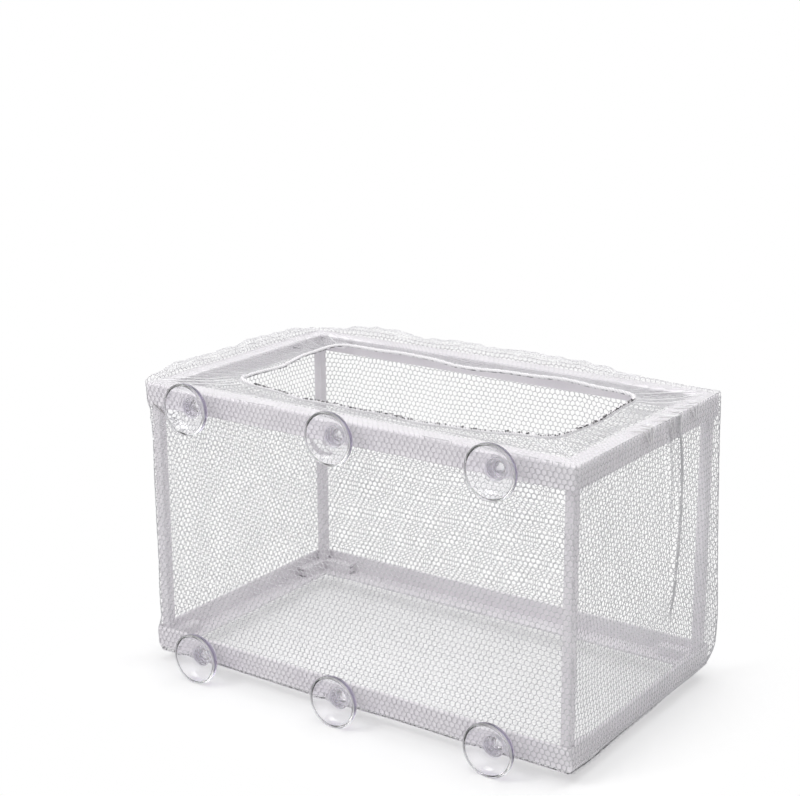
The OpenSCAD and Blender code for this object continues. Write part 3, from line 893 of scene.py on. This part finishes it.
def flapFolds():
    tubes = []
    runs = [   # side, start along the side, end along the side, from the hem (1) to the rim (0)
        (0, 0.012, 0.004, 0.97, 0.03), (0, 0.035, 0.020, 0.97, 0.10), (0, 0.062, 0.045, 0.95, 0.25),
        (3, 0.985, 0.992, 0.97, 0.05), (3, 0.955, 0.975, 0.95, 0.20),
        (0, 0.965, 0.985, 0.97, 0.30), (0, 0.935, 0.955, 0.95, 0.45), (1, 0.02, 0.01, 0.97, 0.22),
        (1, 0.07, 0.03, 0.96, 0.20), (1, 0.80, 0.86, 0.97, 0.18), (1, 0.90, 0.94, 0.95, 0.15),
        (2, 0.985, 0.99, 0.95, 0.2), (2, 0.02, 0.01, 0.95, 0.2), (0, 0.42, 0.44, 0.95, 0.40),
    ]
    for k, start, end, high, low in runs:
        t = np.linspace(0, 1, 24)
        path = flapPoint(k, start + (end - start) * t, high + (low - high) * t)
        path[:, 2] += 0.32
        tubes.append(foldTube(path, folds["radius"], foldThread))
    return joined("netFolds_flaps", tubes)


def cornerCreases():
    # small tucks where the net is drawn round the front left post, under the rail, in a dark grey thread that
    # paints their shadow
    tubes = []
    for x0, x1, z0, z1 in folds["tucks"]:
        t = np.linspace(0, 1, 10)
        across = (x0 + (x1 - x0) * t + frameHalf[0]) / frameLength
        height = z0 + (z1 - z0) * t - 0.6 * np.sin(np.pi * t)
        path = wallPoint(0, across, height / (frameHeight + 1))
        path[:, 1] -= 0.45
        tubes.append(foldTube(path, folds["tuck"], tuckShadowThread))
    return joined("netFolds_corner", tubes)


foldPieces = [pleatFolds(), flapFolds(), cornerCreases()]

# The hem: the rolled edge round the elastic, with its stitching
hem = {
    "width": 1.0, "height": 1.0, "sides": 12,
    "darkRows": ((0.94, -0.72, 0.84), (1.12, 0.1, 0.26)),    # how high, how far in, share of stitches
    "dark": dict(spacing=0.00115, length=0.00034, radius=0.00031, uneven=0.5),
    # the dark line of painted shadow under the back and left of the hem
    "pale": dict(spacing=0.00125, length=0.00085, radius=0.00024, uneven=0.4, share=0.93, seed=8),
}
swell = 1 + 0.10 * np.sin(hemTurn * 611) + 0.08 * np.sin(hemTurn * 1490 + 1)
profile = circle(hem["sides"]) * (hem["width"], hem["height"]) * swell[:, None, None]
hemPath = np.column_stack([hemLine, hemZ])
hemRoll = sweep("hemRoll", hemPath, profile, True)
hemRoll.data.materials.append(hemYarn)


def hemStretch(start, end, lift, inset):
    # part of the hem's path, lifted and moved in towards the middle
    end += len(hemPath) * (end <= start)
    line = hemPath[np.arange(start, end, 3) % len(hemPath)]
    toMiddle = np.array([2.0, 1.0, 0.0]) - line
    toMiddle[:, 2] = 0
    toMiddle /= np.linalg.norm(toMiddle, axis=1)[:, None]
    return line + toMiddle * inset + (0, 0, lift)


def sew(name, run, thread, spacing, length, radius, uneven, share, seed):
    return grow(pathObject(name + "Run", run), stitches, name, {
        "Spacing": spacing, "Stitch Length": length, "Stitch Radius": radius, "Unevenness": uneven,
        "Share": share, "Seed": seed, "Material": thread,
    })


frontLeft, backRight = hemCorners[0], hemCorners[2]
darkRows = []
for row, (lift, inset, share) in enumerate(hem["darkRows"]):
    run = hemStretch(frontLeft + 40, backRight - 20, lift, inset)
    darkRows.append(sew("darkRow", run, darkStitch, share=share, seed=3 + row, **hem["dark"]))
darkStitches = joined("darkStitches", darkRows)
# painted shadow: a dark line of stitches just under the hem along the back and left, where the rails' inner
# faces lie in shade
hemShadowRun = hemStretch(backRight, frontLeft + 40, -0.5, 0.78)
paleStitches = sew("paleStitches", hemShadowRun, hemShadowStitch, **hem["pale"])

# The bottom seam: a bound edge that hangs under the rails
seam = {
    "radius": 0.42, "sides": 8,
    "stitch": dict(spacing=0.0013, length=0.00045, uneven=0.5, share=0.8),
}
seamPath = np.vstack([wallPoint(k, np.linspace(0, 1, 181)[:-1], np.zeros(180)) for k in range(4)])
for _ in range(3):
    seamPath = (np.roll(seamPath, 1, 0) + seamPath + np.roll(seamPath, -1, 0)) / 3
ring = circle(seam["sides"]) * seam["radius"]
bottomSeam = sweep("bottomSeam", seamPath, np.repeat(ring[None], len(seamPath), 0), True)
bottomSeam.data.materials.append(hemYarn)
stitchPath = seamPath + np.array([0, 0, 0.5])
stitchPath[:, :2] += np.repeat(outward, 180, 0) * 0.35
seamRows = []
for half, thread, radius in ((0, darkStitch, 0.00016), (1, seamStitch, 0.0002)):
    run = stitchPath[half * 360:half * 360 + 361]
    seamRows.append(sew("seamRow", run, thread, radius=radius, seed=12 + half, **seam["stitch"]))
seamStitches = joined("seamStitches", seamRows)
print("hem and seams sewn")

cup = {
    "radius": 13.75, "reach": 13.0, "segments": 96,
    "floor": 8.5,            # of the hollow, out from the rail's face
    "curve": 6.0, "lip": 0.3, "edge": 1.0, "shoulder": 5.0, "fillet": 1.0,
    "hub": 5.0, "neck": 2.5, "head": 3.6,
}


def arc(cx, cy, r, start, end, steps):
    a = np.radians(np.linspace(start, end, steps))
    return [(cx + r * math.cos(t), cy + r * math.sin(t)) for t in a]


def cupOutline():
    # half of the cup's section, from the middle of the hollow round to the tip of the head
    rim, reach, lip, curve = cup["radius"], cup["reach"], cup["lip"], cup["curve"]
    floor, shoulder, fillet = cup["floor"], cup["shoulder"], cup["fillet"]
    hub, neck, head = cup["hub"], cup["neck"], cup["head"]
    back = reach - cup["edge"] - shoulder
    line = [(0.0, floor - 0.48), (1.05, floor - 0.48), (1.2, floor - 0.42), (1.2, floor - 0.3)]   # sprue mark
    line += [(2.95, floor - 0.3), (3.1, floor - 0.22), (3.16, floor - 0.06), (3.3, floor)]        # step
    line += arc(6.74, floor + curve, curve, -90, -14.6, 18)                # floor and side of the hollow
    line += arc(12.95, reach - 0.38, 0.4, 160, 90, 5)                      # soft inner edge of the rim
    line += [(rim - lip, reach)] + arc(rim - lip, reach - lip, lip, 90, 0, 6)
    line += arc(rim - shoulder, back + shoulder, shoulder, 0, -90, 20)
    line += arc(hub + fillet, back - fillet, fillet, 90, 180, 7)
    line += [(hub, 1.3)] + arc(hub - 0.3, 1.2, 0.3, 0, -90, 4)             # hub, and the neck in its hole
    line += [(neck + 0.2, 0.9)] + arc(neck + 0.2, 0.7, 0.2, 90, 180, 4)
    line += [(neck, -1.7)] + arc(neck + 0.2, -1.7, 0.2, 180, 270, 4)
    line += [(head - 0.2, -1.9)] + arc(head - 0.2, -2.1, 0.2, 90, 0, 4)    # mushroom head
    line += [(head, -2.9)] + arc(head - 0.2, -2.95, 0.2, 0, -30, 3)
    line += [(head - 1.0, -4.95)] + arc(head - 1.2, -4.85, 0.25, -30, -90, 3) + [(0.0, -5.1)]
    return line


def makeCup(name, x, z):
    count = cup["segments"]
    turns = [2 * math.pi * i / count for i in range(count)]
    points, rings = [], []
    for r, h in cupOutline():
        ring = [(x + r * math.cos(a), -frameHalf[1] - h, z + r * math.sin(a)) for a in turns]
        ring = ring if r else ring[:1]
        rings.append([len(points) + i for i in range(len(ring))] * (count // len(ring)))
        points += ring
    faces = []
    for low, high in zip(rings, rings[1:]):
        for i in range(count):
            j = (i + 1) % count
            # on the axis, where a ring is a single point, the four corners are three
            faces.append(tuple(dict.fromkeys((low[j], low[i], high[i], high[j]))))
    mesh = meshFrom(name, points, faces)
    mesh.materials.append(cupClear)
    # where the clear plastic is thick, with painted dark shade at its step, sprue and fillet marks; where the
    # shoulder's outside gets a painted dark shade; and where it is frosted
    spots = np.asarray(points, float)
    radius = np.hypot(spots[:, 0] - x, spots[:, 2] - z)
    reach = -frameHalf[1] - spots[:, 1]
    onFloor = (reach > 7.6) & (reach < 8.6) & (radius < 3.8)
    atFillet = np.exp(-((radius - 5.15) / 0.35) ** 2) * (reach < 7.2) * (reach > 5.2)
    atRim = smoothStep((radius - 12.7) / 0.5) * smoothStep((reach - 11.0) / 0.8)
    marks = np.exp(-((radius - 3.1) / 0.25) ** 2) + np.exp(-((radius - 1.1) / 0.2) ** 2)
    bend = np.hypot(radius - cup["radius"] + cup["shoulder"], reach - cup["reach"] + cup["edge"])
    onShoulder = np.exp(-((bend - cup["shoulder"]) / 0.15) ** 2) * (reach < 12.7)
    tints = {
        "thickAndShaded": (0.08 + 0.40 * marks) * onFloor + 0.35 * atFillet,
        "side": 0.95 * onShoulder * smoothStep((radius - 11.4) / 1.4),
        "frost": 0.55 * (radius < 5.4) * (reach < 7.4) + 0.12 * onFloor + 0.60 * atRim,
    }
    for label, tint in tints.items():
        layer = mesh.attributes.new(label, "FLOAT", "POINT")
        layer.data.foreach_set("value", np.clip(tint, 0, 1).astype(np.float32))
    return newObject(name, mesh)


cups = {node: makeCup(node.replace("cup_", "suctionCup_"), x, z) for node, (x, z) in cupSpots.items()}
print("cups turned")

# What each piece rides on, and which parts it replaces
for node, (piece, _) in sheets.items():
    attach(piece, "frame")
    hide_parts(node)
for piece in [r["piece"] for r in ruffles.values()] + foldPieces:
    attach(piece, "frame")
for piece in (hemRoll, darkStitches, paleStitches, bottomSeam, seamStitches):
    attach(piece, "frame")
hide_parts("elastic_hem")
for node, piece in cups.items():
    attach(piece, node)
    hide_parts(node)

for r in ruffles.values():
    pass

# Floor, light and camera
studio = {
    "world": 0.41, "floorSize": 3.0, "floor": (0.94, 0.94, 0.943), "floorSeen": (0.97, 0.97, 0.973),
    "glowNear": 0.42, "glowFrom": 0.008, "glowTo": 0.06, "boxHalf": (0.130, 0.080, 0.0),
}
lamps = {                # where it stands, what it points at, its size and power
    "keyLamp": ((0.2, 0.35, 1.85), (0, 0, 0.08), 1.8, 22.0),
    "frontLamp": ((-0.6, -1.15, 1.4), (0, 0, 0.08), 1.1, 12.0),
    "sideLamp": ((1.0, 0.1, 0.2), (0.1, 0, 0.02), 0.5, 0.35),
    "glintLamp": ((-0.5, -1.0, 1.5), (0, 0, 0.08), 0.25, 2.0),
}
view = {
    "azimuth": 35.285, "elevation": 15.550, "roll": -0.427, "target": (-18.13, 0.0, 141.72),
    "distance": 0.89182, "focalPixels": 1693.51, "frameWidth": 800, "sensor": 36.0,
}


def seenRays(tree):
    # rays that reach the camera straight, through the clear cups or by reflection
    path = wire(tree, "ShaderNodeLightPath")
    seen = maths(tree, "MAXIMUM", path["Is Camera Ray"], path["Is Transmission Ray"])
    return maths(tree, "MAXIMUM", seen, path["Is Glossy Ray"])


def makeFloor():
    size = studio["floorSize"]
    mesh = bpy.data.meshes.new("studioFloor")
    mesh.from_pydata([(a * size, b * size, 0) for a, b in cornerSigns], [], [(0, 1, 2, 3)])
    floor = newObject("studioFloor", mesh)
    material, tree, shader = newMaterial("paleFloor")
    # the floor glows softly from a little way off the box, so that its shadow fades out
    place = wire(tree, "ShaderNodeTexCoord")["Object"]
    beside = vectorMaths(tree, "SUBTRACT", vectorMaths(tree, "ABSOLUTE", place), studio["boxHalf"])
    away = vectorMaths(tree, "LENGTH", vectorMaths(tree, "MAXIMUM", beside, (0.0, 0.0, 0.0)))
    far = ramp(tree, away, studio["glowFrom"], studio["glowTo"], interpolation_type="SMOOTHSTEP")
    seen = seenRays(tree)
    share = maths(tree, "MULTIPLY", ramp(tree, far, 0.0, 1.0, studio["glowNear"], 1.0), seen)
    connect(tree, shader, {
        "Base Color": mixColours(tree, seen, studio["floor"], studio["floorSeen"]),
        "Roughness": 0.9, "Specular IOR Level": 0.1,
    })
    glow = wire(tree, "ShaderNodeEmission", {"Color": (1, 1, 1, 1), "Strength": 1.0})[0]
    mixed = wire(tree, "ShaderNodeMixShader", {0: share, 1: shader.outputs[0], 2: glow})[0]
    connect(tree, tree.nodes["Material Output"], {0: mixed})
    mesh.materials.append(material)


def makeWorld():
    world = bpy.data.worlds.new("studio")
    scene.world = world
    world.use_nodes = True
    tree = world.node_tree
    tree.nodes.clear()
    strength = ramp(tree, seenRays(tree), 0.0, 1.0, studio["world"], 1.0)
    shade = wire(tree, "ShaderNodeBackground", {"Color": (1, 1, 1, 1), "Strength": strength})[0]
    connect(tree, tree.nodes.new("ShaderNodeOutputWorld"), {0: shade})


def makeLamp(name, place, aim, size, power):
    data = bpy.data.lights.new(name, "AREA")
    data.shape, data.size, data.energy = "DISK", size, power
    lamp = newObject(name, data)
    lamp.location = place
    lamp.rotation_euler = (Vector(aim) - Vector(place)).to_track_quat("-Z", "Y").to_euler()


def makeCamera():
    azimuth, elevation, roll = (math.radians(view[a]) for a in ("azimuth", "elevation", "roll"))
    level = math.cos(elevation)
    back = Vector((math.sin(azimuth) * level, -math.cos(azimuth) * level, math.sin(elevation)))
    flat = Vector((math.cos(azimuth), math.sin(azimuth), 0))
    upright = back.cross(flat)
    right = flat * math.cos(roll) + upright * math.sin(roll)
    up = upright * math.cos(roll) - flat * math.sin(roll)
    target = Vector(toMetres(view["target"]))
    data = bpy.data.cameras.new("camera")
    data.sensor_width = view["sensor"]
    data.lens = view["focalPixels"] * view["sensor"] / view["frameWidth"]
    data.clip_start, data.clip_end = 0.05, 20.0
    camera = newObject("camera", data)
    turn = Matrix((right, up, back)).transposed().to_4x4()
    camera.matrix_world = Matrix.Translation(target + back * view["distance"]) @ turn
    scene.camera = camera


makeFloor()
makeWorld()
for name, lamp in lamps.items():
    makeLamp(name, *lamp)
makeCamera()
scene.view_settings.view_transform = "Standard"
print("studio set")
